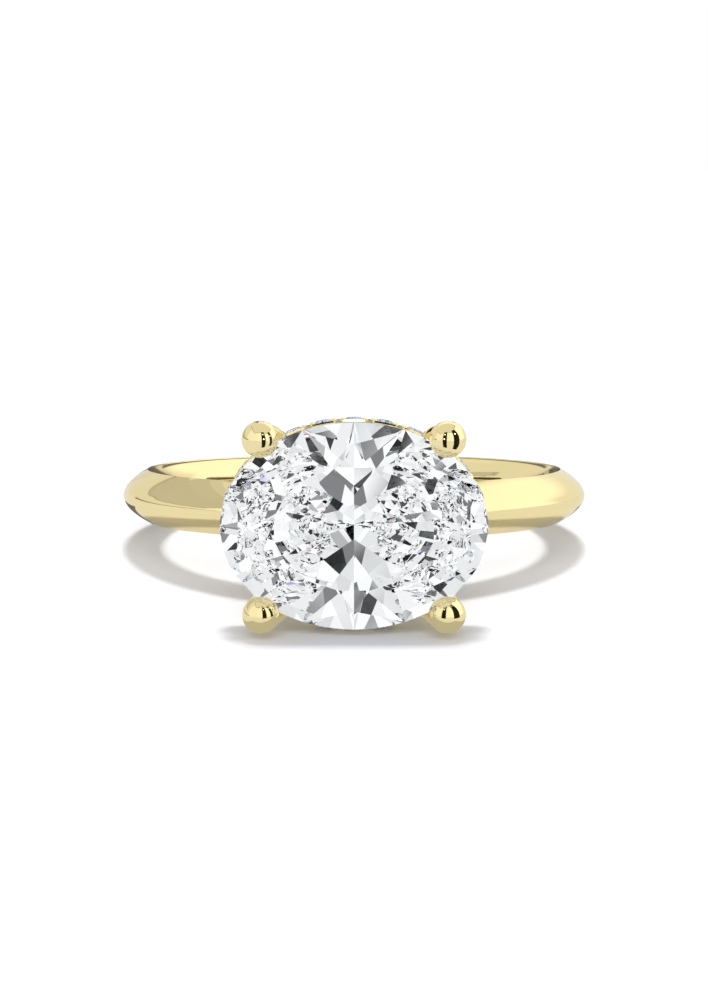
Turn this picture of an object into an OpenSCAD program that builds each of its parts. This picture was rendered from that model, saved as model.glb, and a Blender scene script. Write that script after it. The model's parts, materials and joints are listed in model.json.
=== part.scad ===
// Oval engagement ring, one stone set across the finger, with a hidden halo under its girdle.
// It is modelled lying on its side as it rests by itself: on the lower edge of the halo rail and
// the back of the shank. +Z is up, the stone faces -Y and its length runs along X.

/* [Finger bore and shank] */
// Inner diameter of the finger bore
bore_d = 15.7; // [14.5:0.1:18]
// Shank thickness at its back and sides, from the bore to the knife edge
shank_t = 1.6; // [1.4:0.05:2]
// Shank thickness under the head
head_t = 2.42; // [2:0.02:2.6]
// Shank width along the finger
shank_w = 2.08; // [1.6:0.02:3]
// How far the rounded inside of the shank swells in from its two rims
swell_t = 0.6; // [0.3:0.05:0.7]

/* [Centre stone] */
// Stone length, across the finger
stone_l = 9.25; // [7:0.05:11]
// Stone width, along the finger
stone_w = 7.15; // [5.5:0.05:8.5]
// Distance from the finger's axis to the middle of the girdle
stone_lift = 14.1; // [13.6:0.05:15]
// Width of the table between two opposite flats, as a part of the stone's width
table_part = 0.586; // [0.5:0.01:0.66]
// Height of the table above the girdle
crown_h = 0.98; // [0.7:0.02:1.3]
// Depth of the culet below the girdle
pavilion_d = 3.07; // [2.6:0.01:3.3]
// Thickness of the girdle
girdle_t = 0.24; // [0.2:0.02:0.4]
// How far the star facets reach from the table to the girdle
star_part = 0.52; // [0.4:0.02:0.6]
// Where the lower halves end, counted from the culet to the girdle
lower_part = 0.29; // [0.15:0.01:0.4]

/* [Head] */
// Radius of the ball on each prong's tip
ball_r = 0.635; // [0.5:0.005:0.7]
// Ball centre from the stone's middle, across the finger
ball_x = 3.2; // [3:0.05:3.4]
// Ball centre from the stone's middle, along the finger
ball_z = 3.02; // [2.8:0.02:3.2]
// Ball centre in front of the girdle
ball_rise = 0.45; // [0.3:0.05:0.6]
// Prong radius at its shoulder, under the girdle
prong_r = 0.68; // [0.55:0.01:0.7]
// Radius of the neck between the shoulder and the ball
neck_r = 0.45; // [0.35:0.01:0.5]
// Distance from the shoulder to the ball's centre
neck_l = 0.62; // [0.5:0.02:0.8]
// Prong radius at its foot
foot_r = 0.42; // [0.35:0.01:0.43]
// Radius of the base ring's centre line, which the four feet stand on
base_r = 2; // [1.8:0.05:2.2]
// Turn of each foot round the base ring, from the stone's length
foot_turn = 47; // [40:1:50]
// Radius of the base ring's wire
base_wire_r = 0.46; // [0.45:0.01:0.5]
// Distance from the finger's axis to the base ring
base_lift = 9.95; // [9.8:0.01:10]

/* [Hidden halo] */
// Halo rail's front face behind the girdle's middle
halo_gap = 0.4; // [0.3:0.05:0.6]
// Halo rail's height along the prongs
halo_h = 1.1; // [0.9:0.05:1.3]
// Halo rail's wall, from outside to inside
halo_wall = 0.8; // [0.6:0.05:1]
// How far the rail's long sides stand out past the stone's outline
halo_proud = 0.075; // [0.05:0.005:0.1]
// How far the rail's ends stay inside the stone's outline
halo_tuck = 0.03; // [0:0.01:0.1]

/* [Hidden] */
$fn = 96;
bore_r = bore_d / 2;
ridge_r = bore_r + shank_t;
head_r = bore_r + head_t;
rim_r = bore_r + swell_t;
half_w = shank_w / 2;
// Corners of the bulging flank. Each row has the part of the half width from the knife edge, and
// the part of the way in from the knife edge to the rim.
FLANK = [
    [0, 0],
    [0.4, 0.18],
    [0.7, 0.5],
    [0.88, 0.78],
    [1, 1]
];
// Corners of the rounded inside, from its round wall to past the rim. Each row has the part of the
// half width from the middle, and the part of the way out from the bore to the rim.
SWELL = [
    [0.32, 0],
    [0.6, 0.17],
    [0.82, 0.42],
    [0.95, 0.7],
    [1.1, 1.36]
];
// Each front quarter of the knife edge is an arc whose centre is moved sideways by this much
side_shift = (head_r * head_r - ridge_r * ridge_r) / (2 * ridge_r);
ball_lift = stone_lift + ball_rise;
foot = [base_r * cos(foot_turn), -base_lift, base_r * sin(foot_turn)];
half_l = stone_l / 2;
half_s = stone_w / 2;
halo_l = half_l - halo_tuck;
halo_s = half_s + halo_proud;
// The rest tilt lifts the stone until the halo rail's far edge and the back rim touch one plane
rail_lift = stone_lift - halo_gap - halo_h;
tilt = atan2(halo_s - half_w, rail_lift + rim_r);
rest_h = rim_r * sin(tilt) + half_w * cos(tilt);
// The origin is under the middle of the box, so the ring moves back by half its overhang
front_y = ball_lift * cos(tilt) + ball_z * sin(tilt) + ball_r;
back_y = ridge_r * cos(tilt);
shift_y = (front_y - back_y) / 2;
seat_gap = 0.03;
facet_step = 22.5;
half_step = facet_step / 2;
table_z = girdle_t / 2 + crown_h;
culet_z = -girdle_t / 2 - pavilion_d;
// Intercepts of the facet planes over the stone's middle, from the girdle's edge
bezel_h = crown_h / (1 - table_part);
star_tip = table_part + star_part * (1 - table_part);
star_tip_h = bezel_h * (1 - star_tip * cos(facet_step));
star_h = (crown_h - star_tip_h) / (star_tip - table_part);
upper_h = star_tip_h / (cos(half_step) * (1 - star_tip));
lower_h = pavilion_d * (1 - lower_part * cos(facet_step)) / (cos(half_step) * (1 - lower_part));
// Fans of small pavilion facets at both ends of the stone, which break its light up finely. Each
// row has the number of facets, the degrees between them, their steepness beside the mains', and
// the part of the way from culet to girdle at which they cross the mains.
END_FANS = [
    [7, 10, 0.9, 0.67],
    [4, 12, 1.09, 0.61],
    [6, 14, 1.3, 0.75]
];
big = 40;
outline_n = 96;

// Puts a shape that is drawn around the finger's axis into the resting ring
module at_rest() {
    translate([0, shift_y, rest_h]) rotate([-tilt, 0, 0]) children();
}

// Puts a shape that is drawn with its table up where the stone sits
module at_stone() {
    translate([0, -stone_lift, 0]) rotate([90, 0, 0]) children();
}

// Height of a flank corner over the knife edge
function corner_z(step) = FLANK[step][0] * half_w;

// How much of the knife edge's reach past the rim is left at a flank corner
function kept(step) = 1 - FLANK[step][1];

// One step of a front quarter of the upper flank: a leaning cone from one corner to the next
module front_step(step) {
    rise = corner_z(step + 1) - corner_z(step);
    lean = side_shift * (kept(step) - kept(step + 1)) / rise;
    reach = ridge_r + side_shift - rim_r;
    intersection() {
        translate([-side_shift * kept(step), 0, corner_z(step)])
            multmatrix([[1, 0, lean, 0], [0, 1, 0, 0], [0, 0, 1, 0], [0, 0, 0, 1]])
                cylinder(h = rise, r1 = rim_r + reach * kept(step), r2 = rim_r + reach * kept(step + 1));
        translate([0, -big, -1]) cube([big, big, shank_w + 2]);
    }
}

// One step of the back half of the upper flank
module back_step(step) {
    rise = corner_z(step + 1) - corner_z(step);
    reach = ridge_r - rim_r;
    intersection() {
        translate([0, 0, corner_z(step)])
            cylinder(h = rise, r1 = rim_r + reach * kept(step), r2 = rim_r + reach * kept(step + 1));
        translate([-big, 0, -1]) cube([2 * big, big, shank_w + 2]);
    }
}

// Upper half of the shank without its bore
module upper_half() {
    for (step = [0 : len(FLANK) - 2]) {
        back_step(step);
        front_step(step);
        mirror([1, 0, 0]) front_step(step);
    }
}

module shank() {
    upper_half();
    mirror([0, 0, 1]) upper_half();
}

// Radius and height of a corner of the rounded inside, on the upper or the lower side
function swell_corner(step, side) =
    [bore_r + swell_t * SWELL[step][1], side * half_w * SWELL[step][0]];

module finger_bore() {
    last = len(SWELL) - 1;
    mouth = half_w * SWELL[last][0];
    rotate_extrude() polygon(concat(
        [[0, -mouth]],
        [for (step = [last : -1 : 0]) swell_corner(step, -1)],
        [for (step = [0 : last]) swell_corner(step, 1)],
        [[0, mouth]]
    ));
}

// One prong: it widens from its foot on the base ring to its shoulder, and a neck holds the ball
module prong() {
    tip = [ball_x, -ball_lift, ball_z];
    run = tip - foot;
    reach = norm(run);
    translate(foot) rotate([0, acos(run[2] / reach), atan2(run[1], run[0])]) {
        cylinder(h = reach - neck_l, r1 = foot_r, r2 = prong_r);
        translate([0, 0, reach - 2 * neck_l]) cylinder(h = 2 * neck_l, r = neck_r);
    }
    translate(tip) sphere(r = ball_r);
}

module prongs() {
    for (across = [0, 1], along = [0, 1])
        mirror([across, 0, 0]) mirror([0, 0, along]) prong();
}

// Ring of wire that joins the prongs' feet to the knife edge
module base_ring() {
    translate([0, -base_lift, 0]) rotate([90, 0, 0])
        rotate_extrude() translate([base_r, 0]) circle(r = base_wire_r);
}

function oval(a, b) =
    [for (i = [0 : outline_n - 1]) [a * cos(360 * i / outline_n), b * sin(360 * i / outline_n)]];

// Plain rail of the hidden halo
module halo_rail() {
    at_stone() translate([0, 0, -halo_gap - halo_h]) linear_extrude(halo_h)
        difference() {
            polygon(oval(halo_l, halo_s));
            polygon(oval(halo_l - halo_wall, halo_s - halo_wall));
        }
}

// Everything on the inner side of one facet. The facet's plane touches or cuts the girdle's oval
// at the angle turn: at the height edge_z it is at the part reach of the oval, and over the
// stone's middle it is rise higher for each unit of reach. A negative rise is a pavilion facet.
module facet(turn, edge_z, rise, reach, grow = 0) {
    lean = [cos(turn) / half_l, sin(turn) / half_s, 1 / rise];
    size = norm(lean);
    distance = (reach + edge_z / rise) / size + grow;
    rotate([0, acos(lean[2] / size), atan2(lean[1], lean[0])])
        translate([-big / 2, -big / 2, distance - big]) cube(big);
}

// Girdle block, which the facets are then cut from
module blank(grow = 0) {
    translate([0, 0, culet_z - 1]) linear_extrude(table_z - culet_z + 2)
        polygon(oval(half_l + grow, half_s + grow));
}

module upper_halves(grow = 0) {
    intersection_for(i = [0 : 15])
        facet(half_step + i * facet_step, girdle_t / 2, upper_h, cos(half_step), grow);
}

module lower_halves(grow = 0) {
    intersection_for(i = [0 : 15])
        facet(half_step + i * facet_step, -girdle_t / 2, -lower_h, cos(half_step), grow);
}

// One fan of small facets at each end of the stone
module end_fan(fan) {
    facets = fan[0];
    spacing = fan[1];
    steepness = fan[2];
    crossing = fan[3];
    reach = crossing + (1 - crossing) / steepness;
    intersection_for(end = [0, 180], i = [0 : facets - 1]) {
        turn = end + (i - (facets - 1) / 2) * spacing;
        facet(turn, -girdle_t / 2, -steepness * pavilion_d, reach);
    }
}

module stone_shape() {
    intersection() {
        blank();
        translate([-big / 2, -big / 2, table_z - big]) cube(big);
        upper_halves();
        lower_halves();
        intersection_for(i = [0 : 7]) {
            facet((2 * i + 1) * facet_step, girdle_t / 2, bezel_h, 1);
        }
        intersection_for(i = [0 : 7]) {
            facet(2 * i * facet_step, girdle_t / 2, star_h, table_part + crown_h / star_h);
        }
        intersection_for(i = [0 : 7]) {
            facet((2 * i + 1) * facet_step, -girdle_t / 2, -pavilion_d, 1);
        }
        intersection_for(fan = END_FANS) end_fan(fan);
    }
}

// The stone's room in the head: its outline and halves, grown by the seat's gap
module stone_room() {
    intersection() {
        blank(seat_gap);
        upper_halves(seat_gap);
        lower_halves(seat_gap);
    }
}

module ring_setting() {
    color([0.86, 0.76, 0.46]) at_rest() difference() {
        union() {
            shank();
            base_ring();
            prongs();
            halo_rail();
        }
        finger_bore();
        at_stone() stone_room();
    }
}

module center_stone() {
    color([0.93, 0.95, 0.97]) at_rest() at_stone() stone_shape();
}

ring_setting();
center_stone();
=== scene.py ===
"""Looks of the resting oval engagement ring: polished gold, faceted stone, paved hidden halo."""
import json
import math

import bmesh
import bpy
from mathutils import Matrix, Vector


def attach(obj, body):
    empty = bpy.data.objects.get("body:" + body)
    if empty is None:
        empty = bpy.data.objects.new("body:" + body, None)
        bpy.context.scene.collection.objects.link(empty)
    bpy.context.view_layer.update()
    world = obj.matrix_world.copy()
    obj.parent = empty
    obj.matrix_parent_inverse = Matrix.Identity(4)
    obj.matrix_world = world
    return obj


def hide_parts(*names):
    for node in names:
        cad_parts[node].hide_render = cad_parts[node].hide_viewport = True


MM = 0.001

# Camera, from the ring's middle: in front of the band's plane and a little above it
CAMERA_BACK = 85.3 * MM
CAMERA_UP = 6.97 * MM
CAMERA_PITCH = 0.085
FOCAL_PIXELS = 2078.0
IMAGE_HEIGHT = 1000
SENSOR = 36.0

# Shank, in millimetres in the ring's own frame
BORE_R = 7.85
RIDGE_R = 9.45
HEAD_R = 10.27
RIM_R = 8.45
HALF_W = 1.04
EDGE_ROUND = 0.04
RIDGE_ROUND = 0.05
SHANK_TURNS = 720
FLANK_STEPS = 28
ARC_STEPS = 6
SWELL_STEPS = 24
# The flank leaves the knife edge at this slope and bulges on the way to the rim
FLANK_SLOPE = 0.15
FLANK_POWER = 2.14

# Head: the stone, the balls and the base ring
STONE_LIFT = 14.1
BALL = (3.2, -14.55, 3.02)
BALL_R = 0.635
PRONG_R = 0.68
NECK_R = 0.45
NECK_L = 0.62
SHOULDER_ROUND = 0.06
FOOT_R = 0.42
BASE_R = 2.0
FOOT_TURN = 47
BASE_WIRE_R = 0.46
BASE_LIFT = 9.95
SEAT_GROW = 1.006
PRONG_SIDES = 80
WIRE_TURNS = 160
WIRE_SIDES = 48
# Steps along a prong's taper, round its shoulder and round its ball
TAPER_STEPS = 20
SHOULDER_STEPS = 6
BALL_STEPS = 48
POINT_R = 0.0001

# Hidden halo: an oval rail with stones set in its outer face
HALO_L = 4.595
HALO_S = 3.65
HALO_TOP = -0.4
HALO_H = 1.1
HALO_WALL = 0.8
STATIONS = 24
PRONG_STATIONS = (3, 9, 15, 21)
COLUMNS = 40
FACE_ROWS = 36
PAVE_R = 0.41
SEAT_R = 0.47
PAVE_SINK = 0.06
SCALLOP_DEPTH = 0.26
SCALLOP_HALF = 0.12
BEAD_R = 0.14
BEAD_SIDE = 0.17
BEAD_HEIGHT = 0.31
BEAD_SINK = 0.085
OVAL_STEPS = 3600
STEPS_PER_GAP = 20
STONE_SPIN = 17
# Edges sharper than these many degrees stay crisp
METAL_SHARP = 35
BEAD_SHARP = 60
FLOOR_HALF = 0.3

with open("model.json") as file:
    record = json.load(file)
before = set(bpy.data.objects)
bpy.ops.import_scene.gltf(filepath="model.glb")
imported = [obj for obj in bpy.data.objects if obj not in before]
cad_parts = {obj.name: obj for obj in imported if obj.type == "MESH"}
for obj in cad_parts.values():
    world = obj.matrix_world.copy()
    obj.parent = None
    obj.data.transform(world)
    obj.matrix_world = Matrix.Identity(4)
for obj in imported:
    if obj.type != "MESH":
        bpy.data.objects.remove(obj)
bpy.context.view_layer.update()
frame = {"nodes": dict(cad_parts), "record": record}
bore = frame["record"]["mounts"][0]


def ring_matrix():
    """The ring's own frame: the finger's axis is Z, X is across, the stone faces -Y."""
    up = Vector(bore["axis"]).normalized()
    across = Vector((1, 0, 0))
    back = up.cross(across)
    turn = Matrix((across, back, up)).transposed().to_4x4()
    return Matrix.Translation(Vector(bore["pos_m"])) @ turn


RING = ring_matrix()
RING_MM = RING @ Matrix.Scale(MM, 4)
# The stone's frame: Z out of its table, X along its length, Y along the finger
STONE_MM = RING_MM @ Matrix.Translation((0, -STONE_LIFT, 0)) @ Matrix.Rotation(math.pi / 2, 4, "X")


def add_camera():
    data = bpy.data.cameras.new("camera")
    data.sensor_width = SENSOR
    data.lens = FOCAL_PIXELS * SENSOR / IMAGE_HEIGHT
    data.clip_start = 0.001
    data.clip_end = 10
    camera = bpy.data.objects.new("camera", data)
    bpy.context.collection.objects.link(camera)
    look = Matrix.Rotation(math.pi / 2 - CAMERA_PITCH, 4, "X")
    camera.matrix_world = RING @ Matrix.Translation((0, -CAMERA_BACK, CAMERA_UP)) @ look
    bpy.context.scene.camera = camera


# Shapes

def grid_mesh(rows):
    """A closed surface through equal rows of points, joined along the rows and across them."""
    count = len(rows)
    width = len(rows[0])
    verts = [p for row in rows for p in row]
    faces = []
    for i in range(count):
        after = (i + 1) % count
        for j in range(width):
            beside = (j + 1) % width
            faces.append((i * width + j, i * width + beside, after * width + beside, after * width + j))
    mesh = bpy.data.meshes.new("grid")
    mesh.from_pydata(verts, [], faces)
    return mesh


def finish_mesh(mesh, sharp_angle):
    """Faces turned outward, smooth shading, edges sharper than the angle kept crisp."""
    bm = bmesh.new()
    bm.from_mesh(mesh)
    bmesh.ops.recalc_face_normals(bm, faces=bm.faces)
    bm.to_mesh(mesh)
    bm.free()
    mesh.polygons.foreach_set("use_smooth", [True] * len(mesh.polygons))
    mesh.set_sharp_from_angle(angle=math.radians(sharp_angle))


def place(name, mesh, matrix, material, slot, replaced=None):
    """Adds a mesh as a piece of the ring, with its points brought into the frame's metres."""
    mesh.transform(matrix)
    piece = bpy.data.objects.new(name, mesh)
    bpy.context.collection.objects.link(piece)
    mesh.materials.clear()
    mesh.materials.append(material)
    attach(piece, "root")
    if replaced:
        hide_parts(replaced)
    return piece


def ridge_radius(turn):
    """Distance of the knife edge from the finger's axis, more in the front half, toward the head."""
    if math.sin(turn) >= 0:
        return RIDGE_R
    shift = (HEAD_R ** 2 - RIDGE_R ** 2) / (2 * RIDGE_R)
    arc_r = RIDGE_R + shift
    return -shift * abs(math.cos(turn)) + math.sqrt(arc_r ** 2 - (shift * math.sin(turn)) ** 2)


def half_section(ridge):
    """Upper half of the shank's outline, from the knife edge to the middle of its rounded inside."""
    points = []
    for i in range(FLANK_STEPS + 1):
        z = HALF_W * math.sin(math.pi / 2 * i / FLANK_STEPS)
        part = math.hypot(z, RIDGE_ROUND * (1 - z / HALF_W)) / HALF_W
        inward = FLANK_SLOPE * part + (1 - FLANK_SLOPE) * part ** FLANK_POWER
        points.append((ridge - (ridge - RIM_R) * inward, z))
    for i in range(1, ARC_STEPS + 1):
        turn = math.pi / 2 * i / ARC_STEPS
        z = HALF_W - EDGE_ROUND * (1 - math.cos(turn))
        points.append((RIM_R - EDGE_ROUND * math.sin(turn), z))
    start = math.asin(1 - EDGE_ROUND / HALF_W)
    swell = (RIM_R - EDGE_ROUND - BORE_R) / (1 - math.cos(start))
    for i in range(1, SWELL_STEPS + 1):
        turn = start * (1 - i / SWELL_STEPS)
        points.append((BORE_R + swell * (1 - math.cos(turn)), HALF_W * math.sin(turn)))
    return points


def shank_section(turn):
    upper = half_section(ridge_radius(turn))
    lower = [(r, -z) for r, z in reversed(upper[1:-1])]
    return upper + lower


def shank_mesh():
    rows = []
    for i in range(SHANK_TURNS):
        turn = 2 * math.pi * i / SHANK_TURNS
        rows.append([(r * math.cos(turn), r * math.sin(turn), z) for r, z in shank_section(turn)])
    return grid_mesh(rows)


def ring_of_wire():
    """The base ring under the head, a torus round the stone's axis."""
    rows = []
    for i in range(WIRE_TURNS):
        turn = 2 * math.pi * i / WIRE_TURNS
        row = []
        for j in range(WIRE_SIDES):
            swing = 2 * math.pi * j / WIRE_SIDES
            r = BASE_R + BASE_WIRE_R * math.cos(swing)
            lift = BASE_LIFT - BASE_WIRE_R * math.sin(swing)
            row.append((r * math.cos(turn), -lift, r * math.sin(turn)))
        rows.append(row)
    return grid_mesh(rows)


def prong_profile(reach):
    """Distance along one prong and radius there: taper, rounded shoulder, neck and ball."""
    stop = reach - NECK_L
    start = stop - SHOULDER_ROUND
    points = [(0, POINT_R), (0, FOOT_R)]
    for i in range(1, TAPER_STEPS + 1):
        along = start * i / TAPER_STEPS
        points.append((along, FOOT_R + (PRONG_R - FOOT_R) * along / stop))
    for i in range(1, SHOULDER_STEPS + 1):
        turn = math.pi / 2 * i / SHOULDER_STEPS
        radius = PRONG_R - SHOULDER_ROUND * (1 - math.cos(turn))
        points.append((start + SHOULDER_ROUND * math.sin(turn), radius))
    points.append((stop, NECK_R))
    swing = math.pi - math.asin(NECK_R / BALL_R)
    for i in range(BALL_STEPS + 1):
        turn = swing * (1 - i / BALL_STEPS)
        points.append((reach + BALL_R * math.cos(turn), max(BALL_R * math.sin(turn), POINT_R)))
    return points


def prong_mesh(side, level):
    """One prong with its ball. Side and level are 1 or -1."""
    tip = Vector((side * BALL[0], BALL[1], level * BALL[2]))
    turn = math.radians(FOOT_TURN)
    foot = Vector((side * BASE_R * math.cos(turn), -BASE_LIFT, level * BASE_R * math.sin(turn)))
    run = tip - foot
    stand = run.to_track_quat("Z", "Y").to_matrix()
    bm = bmesh.new()
    rings = []
    for along, radius in prong_profile(run.length):
        ring = []
        for k in range(PRONG_SIDES):
            swing = 2 * math.pi * k / PRONG_SIDES
            local = Vector((radius * math.cos(swing), radius * math.sin(swing), along))
            ring.append(bm.verts.new(foot + stand @ local))
        rings.append(ring)
    for low, high in zip(rings, rings[1:]):
        for k in range(PRONG_SIDES):
            after = (k + 1) % PRONG_SIDES
            bm.faces.new((low[k], low[after], high[after], high[k]))
    bmesh.ops.remove_doubles(bm, verts=rings[0] + rings[-1], dist=0.001)
    mesh = bpy.data.meshes.new("prong")
    bm.to_mesh(mesh)
    bm.free()
    return mesh


def seat_cutter():
    """The stone, grown a little about its middle, to cut its seat in the prongs."""
    mesh = frame["nodes"]["center_stone"].data.copy()
    middle = STONE_MM @ Vector((0, 0, 0))
    mesh.transform(Matrix.Translation(middle) @ Matrix.Scale(SEAT_GROW, 4) @ Matrix.Translation(-middle))
    cutter = bpy.data.objects.new("seat_cutter", mesh)
    bpy.context.collection.objects.link(cutter)
    return cutter


def cut_seat(piece, cutter):
    """Cuts the stone's room out of a piece and keeps the result as its mesh."""
    cut = piece.modifiers.new("seat", "BOOLEAN")
    cut.operation = "DIFFERENCE"
    cut.solver = "EXACT"
    cut.object = cutter
    shown = piece.evaluated_get(bpy.context.evaluated_depsgraph_get())
    mesh = bpy.data.meshes.new_from_object(shown)
    piece.modifiers.clear()
    piece.data = mesh
    finish_mesh(mesh, METAL_SHARP)


# Hidden halo

def oval_walk(steps):
    """Points along the rail's oval at equal steps of length, each with its outward direction."""
    length = [0.0]
    for i in range(OVAL_STEPS):
        turn = 2 * math.pi * (i + 0.5) / OVAL_STEPS
        speed = math.hypot(HALO_L * math.sin(turn), HALO_S * math.cos(turn))
        length.append(length[-1] + speed * 2 * math.pi / OVAL_STEPS)
    walk = []
    i = 0
    for k in range(steps):
        goal = length[-1] * k / steps
        while length[i + 1] < goal:
            i += 1
        part = (goal - length[i]) / (length[i + 1] - length[i])
        turn = 2 * math.pi * (i + part) / OVAL_STEPS
        out = Vector((HALO_S * math.cos(turn), HALO_L * math.sin(turn), 0)).normalized()
        walk.append((Vector((HALO_L * math.cos(turn), HALO_S * math.sin(turn), 0)), out))
    return walk, length[-1] / STATIONS


def rail_sink(beside, height, seat):
    """Depth of the rail's face below its outline, near a stone's seat."""
    away = math.hypot(beside, height)
    if not seat or away > SEAT_R:
        return 0
    if away > PAVE_R:
        return PAVE_SINK * (SEAT_R - away) / (SEAT_R - PAVE_R)
    return PAVE_SINK + 0.9 * (PAVE_R - away)


def rail_mesh():
    """The halo rail: its outer face has a round seat for each stone, its edges are scalloped between."""
    walk, pitch = oval_walk(STATIONS * COLUMNS)
    rows = []
    for k, (point, out) in enumerate(walk):
        station = round(k / COLUMNS)
        beside = (k / COLUMNS - station) * pitch
        seat = station % STATIONS not in PRONG_STATIONS
        notch = SCALLOP_DEPTH * max(0, 1 - (pitch / 2 - abs(beside)) / SCALLOP_HALF)
        half = HALO_H / 2 - notch
        middle = HALO_TOP - HALO_H / 2
        row = []
        for j in range(FACE_ROWS + 1):
            height = half * (1 - 2 * j / FACE_ROWS)
            sink = rail_sink(beside, height, seat)
            row.append(point - out * sink + Vector((0, 0, middle + height)))
        for height, depth in ((-half, 0.5), (-half, 1), (0, 1), (half, 1), (half, 0.5)):
            row.append(point - out * HALO_WALL * depth + Vector((0, 0, middle + height)))
        rows.append(row)
    return grid_mesh(rows)


def brilliant():
    """A small round brilliant of unit girdle radius, its girdle at height 0: a hull of corners."""
    bm = bmesh.new()
    corners = [(0, 0, -0.86)]
    for i in range(8):
        bezel = math.radians(45 * i)
        between = math.radians(45 * i + 22.5)
        corners.append((0.56 * math.cos(between), 0.56 * math.sin(between), 0.32))
        corners.append((0.78 * math.cos(bezel), 0.78 * math.sin(bezel), 0.175))
        corners.append((0.24 * math.cos(bezel), 0.24 * math.sin(bezel), -0.68))
    for i in range(16):
        turn = math.radians(22.5 * i)
        corners.append((math.cos(turn), math.sin(turn), 0.02))
        corners.append((math.cos(turn), math.sin(turn), -0.03))
    for corner in corners:
        bm.verts.new(corner)
    bmesh.ops.convex_hull(bm, input=bm.verts)
    bmesh.ops.dissolve_limit(bm, angle_limit=math.radians(1.5), verts=bm.verts, edges=bm.edges)
    mesh = bpy.data.meshes.new("brilliant")
    bm.to_mesh(mesh)
    bm.free()
    return mesh


def facing(point, out):
    """A frame at a point on the rail: Z outward, X along the rail, Y along the height."""
    up = Vector((0, 0, 1))
    along = up.cross(out)
    return Matrix.Translation(point) @ Matrix((along, up, out)).transposed().to_4x4()


def joined(parts):
    """One mesh from several (mesh, matrix) copies."""
    bm = bmesh.new()
    for mesh, matrix in parts:
        part = mesh.copy()
        part.transform(matrix)
        bm.from_mesh(part)
    out = bpy.data.meshes.new("joined")
    bm.to_mesh(out)
    bm.free()
    return out


def halo_stones():
    """The small stones, all in one mesh, each turned a little differently about its own axis."""
    walk, _ = oval_walk(STATIONS)
    stone = brilliant()
    middle = Vector((0, 0, HALO_TOP - HALO_H / 2))
    parts = []
    for k, (point, out) in enumerate(walk):
        if k not in PRONG_STATIONS:
            spin = Matrix.Rotation(math.radians(STONE_SPIN * k), 4, "Z")
            seat = facing(point + middle - out * PAVE_SINK, out)
            parts.append((stone, seat @ spin @ Matrix.Scale(PAVE_R - 0.01, 4)))
    return joined(parts)


def bead_mesh():
    bm = bmesh.new()
    bmesh.ops.create_icosphere(bm, subdivisions=3, radius=BEAD_R)
    mesh = bpy.data.meshes.new("bead")
    bm.to_mesh(mesh)
    bm.free()
    return mesh


def halo_beads():
    """The beads that hold the small stones: four in each gap between two stones."""
    walk, pitch = oval_walk(STATIONS * STEPS_PER_GAP)
    bead = bead_mesh()
    middle = HALO_TOP - HALO_H / 2
    shift = round(BEAD_SIDE / pitch * STEPS_PER_GAP)
    parts = []
    for k in range(STATIONS):
        beside_prong = k in PRONG_STATIONS or (k + 1) % STATIONS in PRONG_STATIONS
        for side in (-1, 1):
            near = k if side < 0 else (k + 1) % STATIONS
            if beside_prong and near in PRONG_STATIONS:
                continue
            step = k * STEPS_PER_GAP + STEPS_PER_GAP // 2 + side * shift
            point, out = walk[step % len(walk)]
            for level in (-1, 1):
                place_at = point - out * BEAD_SINK + Vector((0, 0, middle + level * BEAD_HEIGHT))
                parts.append((bead, Matrix.Translation(place_at)))
    return joined(parts)


# Materials

def new_material(name):
    mat = bpy.data.materials.new(name)
    mat.use_nodes = True
    return mat, mat.node_tree


def add_node(tree, kind, **values):
    """A shader node with its inputs set by name."""
    node = tree.nodes.new(kind)
    for name, value in values.items():
        node.inputs[name.replace("_", " ")].default_value = value
    return node


def noise(tree, scale, detail):
    """Noise over the object's own place, in features per millimetre."""
    where = tree.nodes.new("ShaderNodeTexCoord")
    node = add_node(tree, "ShaderNodeTexNoise", Scale=scale / MM, Detail=detail)
    tree.links.new(where.outputs["Object"], node.inputs["Vector"])
    return node.outputs["Fac"]


def spread(tree, value, low, high):
    """Brings noise, which is mostly from 0.3 to 0.7, into a range."""
    node = tree.nodes.new("ShaderNodeMapRange")
    node.inputs["From Min"].default_value = 0.3
    node.inputs["From Max"].default_value = 0.7
    node.inputs["To Min"].default_value = low
    node.inputs["To Max"].default_value = high
    tree.links.new(value, node.inputs["Value"])
    return node.outputs["Result"]


def blend_colours(tree, value, first, second):
    node = tree.nodes.new("ShaderNodeMix")
    node.data_type = "RGBA"
    node.inputs["A"].default_value = (*first, 1)
    node.inputs["B"].default_value = (*second, 1)
    tree.links.new(value, node.inputs["Factor"])
    return node.outputs["Result"]


GOLD_PALE = (0.965, 0.83, 0.45)
GOLD_DEEP = (0.935, 0.795, 0.415)
GOLD_EDGE = (0.97, 0.93, 0.82, 1)
FLOOR_PALE = (0.9, 0.9, 0.905)
FLOOR_DEEP = (0.89, 0.89, 0.895)


def gold():
    """Polished yellow gold: faint clouds in its colour, uneven polish, the finest ripple."""
    mat, tree = new_material("polished_gold")
    shader = tree.nodes["Principled BSDF"]
    shader.inputs["Metallic"].default_value = 1
    shader.inputs["Specular Tint"].default_value = GOLD_EDGE
    clouds = spread(tree, noise(tree, 0.35, 3), 0, 1)
    tree.links.new(blend_colours(tree, clouds, GOLD_PALE, GOLD_DEEP), shader.inputs["Base Color"])
    tree.links.new(spread(tree, noise(tree, 1.4, 4), 0.045, 0.085), shader.inputs["Roughness"])
    bump = add_node(tree, "ShaderNodeBump", Strength=0.04, Distance=0.01 * MM)
    tree.links.new(noise(tree, 2.2, 3), bump.inputs["Height"])
    tree.links.new(bump.outputs["Normal"], shader.inputs["Normal"])
    return mat


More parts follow.
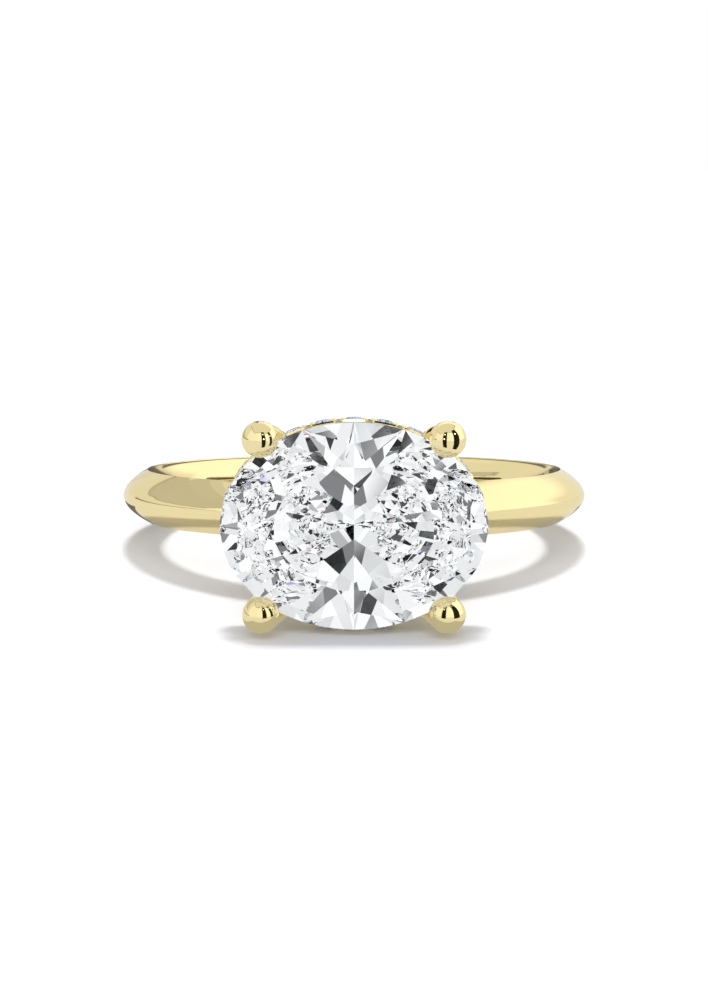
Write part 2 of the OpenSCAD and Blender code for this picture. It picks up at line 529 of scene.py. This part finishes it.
def diamond(name, clear, veiled):
    """Diamond, given a clear colour or a grey one for painted shade: its surface glare is turned down so
    that the light inside it reads.
    """
    mat, tree = new_material(name)
    shader = tree.nodes["Principled BSDF"]
    shader.inputs["Roughness"].default_value = 0
    shader.inputs["IOR"].default_value = 2.42
    shader.inputs["Transmission Weight"].default_value = 1
    shader.inputs["Specular Tint"].default_value = (0.1, 0.1, 0.1, 1)
    veil = spread(tree, noise(tree, 0.5, 2), 0, 1)
    tree.links.new(blend_colours(tree, veil, clear, veiled), shader.inputs["Base Color"])
    return mat


def white_floor():
    """The white floor; in the gold's reflections only it is greyer, a painted shade darker than under
    the lamps.
    """
    mat, tree = new_material("white_floor")
    shader = tree.nodes["Principled BSDF"]
    shader.inputs["Roughness"].default_value = 0.9
    shader.inputs["Specular IOR Level"].default_value = 0
    rays = tree.nodes.new("ShaderNodeLightPath")
    tone = spread(tree, noise(tree, 0.01, 2), 0, 1)
    lit = blend_colours(tree, tone, FLOOR_PALE, FLOOR_DEEP)
    # Glossy rays see a greyer floor: painted shade in the gold's reflections
    seen = mixed(tree, rays.outputs["Is Glossy Ray"], lit, FLOOR_SHADE_IN_GOLD)
    tree.links.new(seen, shader.inputs["Base Color"])
    return mat


# Studio: the world's light by direction. Azimuth 0 is toward the camera and grows to the right.
# Rows: azimuth, elevation, width, height and softness of edge in degrees, and level
STONE_BASE = 0.98
STONE_PATCHES = (
    (0, -60, 360, 60, 30, 0.85),
    (15, 18, 30, 34, 3, 0.22),
    (24, 14, 12, 20, 2, 0.5),
    (14, 12, 6, 10, 2, 0.06),
    (4, 33, 10, 14, 2, 0.03),
    (12, 2, 8, 10, 2, 0.02),
    (1.5, -24, 5, 12, 2, 0.25),
    (-4, -46, 20, 10, 4, 0.2),
    (-6, 21, 8, 12, 2, 0.08),
    (-72, 0, 12, 26, 2, 0.02),
    (-38, 30, 5, 60, 1.5, 0.03),
    (-24, 46, 14, 8, 2, 0.2),
    (52, 24, 7, 70, 2, 0.05),
    (72, 30, 10, 70, 2, 0.0),
    (-95, 20, 10, 80, 2, 0.0),
    (98, 10, 12, 80, 2, 0.0),
    (125, 20, 10, 70, 2, 0.1),
    (-125, 20, 12, 80, 2, 0.0),
    (-155, 10, 10, 70, 2, 0.1),
    (165, 15, 12, 80, 2, 0.0),
    (0, 62, 160, 6, 2, 0.05),
    (42, -30, 6, 24, 2, 0.3),
    (-45, -32, 9, 24, 2, 0.05),
    (-15, -34, 7, 16, 2, 0.0),
)
# Rows: strength, then waves per turn and phase in degrees along azimuth and along elevation
STONE_WAVES = (
    (0.22, 5, 20, 3, 40),
    (0.15, 11, 70, 6, 10),
)
GOLD_BASE = 0.6
GOLD_PATCHES = (
    (-118, 20, 126, 100, 10, 0.83),
    (172, 12, 22, 80, 8, 0.86),
    (81, 22, 166, 92, 8, 1.22),
    (150, -3, 60, 38, 14, 0.9),
    (173.5, 28, 15, 34, 3, 0.2),
    (-173.5, 28, 15, 34, 3, 0.2),
    (-46, 10, 80, 94, 8, 1.02),
    (0, 10, 34, 94, 24, 1.08),
    (-107, 1, 66, 4, 2, 0.25),
)
FILL = (0.49, 0.5, 0.56)
KEY_STRENGTH = 1.72
KEY_ANGLE = 12
KEY_LIFT = 100
FRONT_STRENGTH = 1.3
FRONT_ANGLE = 50
FRONT_LIFT = 35
# The floor's colour in the gold's reflections only: painted shade, greyer than the lit floor
FLOOR_SHADE_IN_GOLD = (0.69, 0.69, 0.69)
# Light has to leave a stone again after many reflections inside it
LIGHT_BOUNCES = 40
STONE_TINT = (0.975, 0.988, 1.0)
# Rows: place of the patch as above, and its colour
STONE_COLOURS = (
    (75, 55, 12, 16, 3, (0.35, 0.3, 0.8)),
    (-62, 8, 3, 8, 2, (0.5, 0.72, 0.8)),
    (14, 42, 8, 8, 3, (0.75, 0.55, 0.6)),
)
# Parts of the light tent, and painted shadow on the floor, that only the gold's gloss shows, in
# millimetres from the frame's origin.
# Rows: name, two opposite corners, level. Each panel is level, or else upright.
TENT = (
    ("post_middle", (-1.7, -18.3, 0), (2.1, -18.3, 17), 0.0),
    ("post_right", (6.6, -16.2, 0), (9.0, -13.0, 17), 0.0),
    ("ceiling_edge", (-11.4, -19.7, 17.6), (9.6, -4, 17.6), 0.12),
    ("ceiling_front", (-10.8, -19.1, 17.5), (9.0, -4, 17.5), 0.78),
    ("ceiling_left", (-5, -4, 17.5), (-0.5, 12, 17.5), 1.0),
    ("ceiling_right", (-0.5, -4, 17.5), (9, 25, 17.5), 1.18),
    ("ceiling_gap", (-5, 12, 17.5), (-0.5, 13, 17.5), 0.65),
    ("ceiling_back", (-5, 13, 17.5), (-0.5, 25, 17.5), 0.86),
    ("front_right", (11.4, -20.0, 0), (60, -20.0, 17), 1.22),
    ("back_wall", (-16, 26, 0), (4.6, 26, 7), 0.75),
    ("back_strip", (-8.6, 25.9, 0.8), (9, 25.9, 4.9), 0.14),
    ("back_strip_top", (-9.4, 25.9, 4.9), (9, 25.9, 5.6), 0.42),
    ("side_ceiling", (-24, -7, 9), (-10, 9, 9), 0.57),
    ("side_ceiling_far", (-20.5, 9, 9), (-10, 12.3, 9), 0.57),
    ("side_ceiling_near", (-10, -7, 9), (-8.2, 8, 9), 0.59),
    ("side_ceiling_soft", (-8.2, -7, 9), (-7.3, 7, 9), 0.68),
    ("side_edge", (-27, -7, 9.1), (-10, 10.6, 9.1), 0.46),
    ("side_edge_far", (-23, 10.6, 9.1), (-10, 14.2, 9.1), 0.46),
    # Painted shadow on the floor, inside the ring and under the head, shown only in the gold's
    # reflections
    ("painted_shadow_inside", (-5, 1, 0.05), (5, 9, 0.05), 0.12),
    ("shade_head", (-5, -13.5, 0.05), (5, -9, 0.05), 0.52),
    ("slit_right", (8.6, 6.6, 2.2), (8.6, 12, 3.7), 0.05),
    ("slit_right_top", (8.6, 6.6, 3.7), (8.6, 12, 4.6), 0.35),
    ("slit_left", (-8.6, 6.6, 2.2), (-8.6, 12, 4.2), 0.05),
    ("back_card_edge", (2.5, 21, 0), (4.5, 23.4, 5), 0.5),
    ("back_card", (4.5, 23.4, 0), (12, 32.3, 5), 0.12),
    ("card_left", (-12, 24, 0), (-7.6, 24, 5), 0.12),
    # Painted shadow on the floor behind the ring, shown only in the gold's reflections
    ("shade_back", (-9, 13, 0.05), (9.5, 19, 0.05), 0.15),
    ("glint_low", (-0.4, -18.2, 7.8), (0.4, -18.2, 8.7), 5.0),
    ("glint_high", (-0.4, -18.2, 12.4), (0.4, -18.2, 13.3), 5.0),
    ("glint_side", (7.4, -14.9, 10.6), (7.9, -14.3, 11.6), 5.0),
    # Painted shadow on the floor beside the ring, shown only in the gold's reflections
    ("shade_left", (-11.5, 4, 0.05), (-8.6, 9, 0.05), 0.15),
    ("shade_right", (9.4, 6, 0.05), (10.6, 11, 0.05), 0.15),
)


def calc(tree, operation, first, second=0.0):
    """One step of arithmetic on sockets or numbers."""
    node = tree.nodes.new("ShaderNodeMath")
    node.operation = operation
    for socket, value in zip(node.inputs, (first, second)):
        if isinstance(value, (int, float)):
            socket.default_value = value
        else:
            tree.links.new(value, socket)
    return node.outputs[0]


def edge(tree, value, centre, half, soft):
    """1 within half of the centre and 0 outside, with a soft step between."""
    node = tree.nodes.new("ShaderNodeMapRange")
    node.interpolation_type = "SMOOTHSTEP"
    away = calc(tree, "ABSOLUTE", calc(tree, "SUBTRACT", value, centre))
    tree.links.new(away, node.inputs["Value"])
    node.inputs["From Min"].default_value = half - soft / 2
    node.inputs["From Max"].default_value = half + soft / 2
    node.inputs["To Min"].default_value = 1
    node.inputs["To Max"].default_value = 0
    return node.outputs["Result"]


def mask(tree, azimuth, elevation, place):
    """1 inside a patch of the sky and 0 outside it. Its place is given as in the rows above."""
    az, el, width, height, soft = place
    return calc(tree, "MULTIPLY", edge(tree, azimuth, az, width / 2, soft),
                edge(tree, elevation, el, height / 2, soft))


def wave(tree, operation, angle, turns, phase):
    leading = calc(tree, "ADD", calc(tree, "MULTIPLY", angle, turns), phase)
    return calc(tree, operation, calc(tree, "RADIANS", leading))


def studio(tree, azimuth, elevation, level, waves, patches):
    """Brightness by direction: a level with waves, and patches of other levels laid over it."""
    for strength, turns, phase, rises, lead in waves:
        crossing = calc(tree, "MULTIPLY", wave(tree, "SINE", azimuth, turns, phase),
                        wave(tree, "COSINE", elevation, rises, lead))
        level = calc(tree, "ADD", level, calc(tree, "MULTIPLY", crossing, strength))
    for *place, shade in patches:
        step = calc(tree, "MULTIPLY", calc(tree, "SUBTRACT", shade, level),
                    mask(tree, azimuth, elevation, place))
        level = calc(tree, "ADD", level, step)
    return level


def mixed(tree, factor, first, second):
    """The second colour where the factor is 1. Each is a socket or three numbers."""
    node = tree.nodes.new("ShaderNodeMix")
    node.data_type = "RGBA"
    tree.links.new(factor, node.inputs[0])
    for socket, value in zip(node.inputs[6:8], (first, second)):
        if isinstance(value, tuple):
            socket.default_value = (*value, 1)
        else:
            tree.links.new(value, socket)
    return node.outputs[2]


def sky_angles(tree):
    """Azimuth and elevation in degrees of the direction the world is looked up in."""
    where = tree.nodes.new("ShaderNodeTexCoord")
    parts = tree.nodes.new("ShaderNodeSeparateXYZ")
    tree.links.new(where.outputs["Generated"], parts.inputs[0])
    across, back, up = parts.outputs
    toward = calc(tree, "MULTIPLY", back, -1)
    azimuth = calc(tree, "DEGREES", calc(tree, "ARCTAN2", across, toward))
    elevation = calc(tree, "DEGREES", calc(tree, "ARCSINE", up))
    return azimuth, elevation


def stone_sky(tree, azimuth, elevation):
    """What the stones show inside: white light, dark gaps between the panels, faint colours."""
    level = studio(tree, azimuth, elevation, STONE_BASE, STONE_WAVES, STONE_PATCHES)
    cool = tree.nodes.new("ShaderNodeVectorMath")
    cool.operation = "SCALE"
    cool.inputs[0].default_value = STONE_TINT
    tree.links.new(level, cool.inputs["Scale"])
    colour = cool.outputs[0]
    for *place, tint in STONE_COLOURS:
        colour = mixed(tree, mask(tree, azimuth, elevation, place), colour, tint)
    return colour


def add_world():
    """White behind everything, soft light on the floor, and a studio each for gold and stones."""
    world = bpy.data.worlds.new("studio")
    bpy.context.scene.world = world
    world.use_nodes = True
    tree = world.node_tree
    azimuth, elevation = sky_angles(tree)
    rays = tree.nodes.new("ShaderNodeLightPath")
    gold_level = studio(tree, azimuth, elevation, GOLD_BASE, (), GOLD_PATCHES)
    colour = mixed(tree, rays.outputs["Is Glossy Ray"], FILL, gold_level)
    stone_light = stone_sky(tree, azimuth, elevation)
    colour = mixed(tree, rays.outputs["Is Transmission Ray"], colour, stone_light)
    colour = mixed(tree, rays.outputs["Is Camera Ray"], colour, (1.0, 1.0, 1.0))
    tree.links.new(colour, tree.nodes["Background"].inputs["Color"])


def add_lamp(name, strength, angle, lift):
    """A distant lamp, raised by degrees from the floor in front. Past 90 it is behind.

    It lights the floor, and gold and stones don't show it.
    """
    data = bpy.data.lights.new(name, "SUN")
    data.energy = strength
    data.angle = math.radians(angle)
    lamp = bpy.data.objects.new(name, data)
    bpy.context.collection.objects.link(lamp)
    lamp.matrix_world = Matrix.Rotation(math.radians(90 - lift), 4, "X")
    lamp.visible_glossy = False
    lamp.visible_transmission = False


def flat_corners(low, high):
    """Corners of an upright or level rectangle between two opposite corners, in metres."""
    (x0, y0, z0), (x1, y1, z1) = (tuple(v * MM for v in low), tuple(v * MM for v in high))
    if z0 != z1:
        return [(x0, y0, z0), (x1, y1, z0), (x1, y1, z1), (x0, y0, z1)]
    return [(x0, y0, z0), (x1, y0, z0), (x1, y1, z0), (x0, y1, z0)]


def add_panel(name, low, high, level):
    """One flat part of the tent, or a painted shadow on the floor. The camera, the floor and the stones
    don't see it.
    """
    mesh = bpy.data.meshes.new(name)
    mesh.from_pydata(flat_corners(low, high), [], [(0, 1, 2, 3)])
    panel = bpy.data.objects.new(name, mesh)
    bpy.context.collection.objects.link(panel)
    mat, tree = new_material(name)
    shader = tree.nodes["Principled BSDF"]
    shader.inputs["Base Color"].default_value = (0.02, 0.018, 0.015, 1)
    shader.inputs["Specular IOR Level"].default_value = 0
    shader.inputs["Emission Color"].default_value = (1, 1, 1, 1)
    shader.inputs["Emission Strength"].default_value = level
    mesh.materials.append(mat)
    panel.visible_camera = False
    panel.visible_diffuse = False
    panel.visible_transmission = False
    panel.visible_shadow = False


def add_floor():
    mesh = bpy.data.meshes.new("floor")
    signs = ((-1, -1), (1, -1), (1, 1), (-1, 1))
    mesh.from_pydata([(x * FLOOR_HALF, y * FLOOR_HALF, 0) for x, y in signs], [], [(0, 1, 2, 3)])
    floor = bpy.data.objects.new("floor", mesh)
    bpy.context.collection.objects.link(floor)
    mesh.materials.append(white_floor())
    floor.visible_transmission = False


def add_gold(name, mesh, material, sharp_angle):
    finish_mesh(mesh, sharp_angle)
    piece = place(name, mesh, RING_MM, material, "yellow_gold", "ring_setting")
    piece.visible_transmission = False
    piece.visible_glossy = name.startswith("prong") or name == "shank"
    return piece


def add_head(polish):
    """Base ring, four prongs and the halo's rail; the stone's seat is cut out of the prongs and the
    rail.
    """
    cutter = seat_cutter()
    add_gold("base_ring", ring_of_wire(), polish, METAL_SHARP)
    pieces = []
    for side, across in ((-1, "left"), (1, "right")):
        for level, along in ((-1, "lower"), (1, "upper")):
            name = f"prong_{along}_{across}"
            pieces.append(add_gold(name, prong_mesh(side, level), polish, METAL_SHARP))
    rail = rail_mesh()
    rail.transform(RING_MM.inverted() @ STONE_MM)
    pieces.append(add_gold("halo_rail", rail, polish, METAL_SHARP))
    for piece in pieces:
        cut_seat(piece, cutter)
    bpy.data.objects.remove(cutter)


def add_halo(polish, small):
    beads = halo_beads()
    beads.transform(RING_MM.inverted() @ STONE_MM)
    add_gold("halo_beads", beads, polish, BEAD_SHARP)
    place("halo_stones", halo_stones(), STONE_MM, small, "diamond")


def set_up_render():
    scene = bpy.context.scene
    scene.view_settings.view_transform = "Standard"
    scene.cycles.max_bounces = LIGHT_BOUNCES
    scene.cycles.transmission_bounces = LIGHT_BOUNCES
    scene.cycles.glossy_bounces = LIGHT_BOUNCES


add_camera()
add_floor()
add_world()
add_lamp("key", KEY_STRENGTH, KEY_ANGLE, KEY_LIFT)
add_lamp("front_light", FRONT_STRENGTH, FRONT_ANGLE, FRONT_LIFT)
for row in TENT:
    add_panel(*row)
polish = gold()
clear = diamond("clear_diamond", (1, 1, 1), (0.965, 0.98, 0.99))
# The small stones are tinted grey: painted shade, standing in for the darker light they show under the
# centre stone
small = diamond("small_diamonds_grey_shade", (0.72, 0.74, 0.78), (0.62, 0.65, 0.7))
add_gold("shank", shank_mesh(), polish, METAL_SHARP)
add_head(polish)
add_halo(polish, small)
frame["nodes"]["center_stone"].material_slots[0].material = clear
set_up_render()
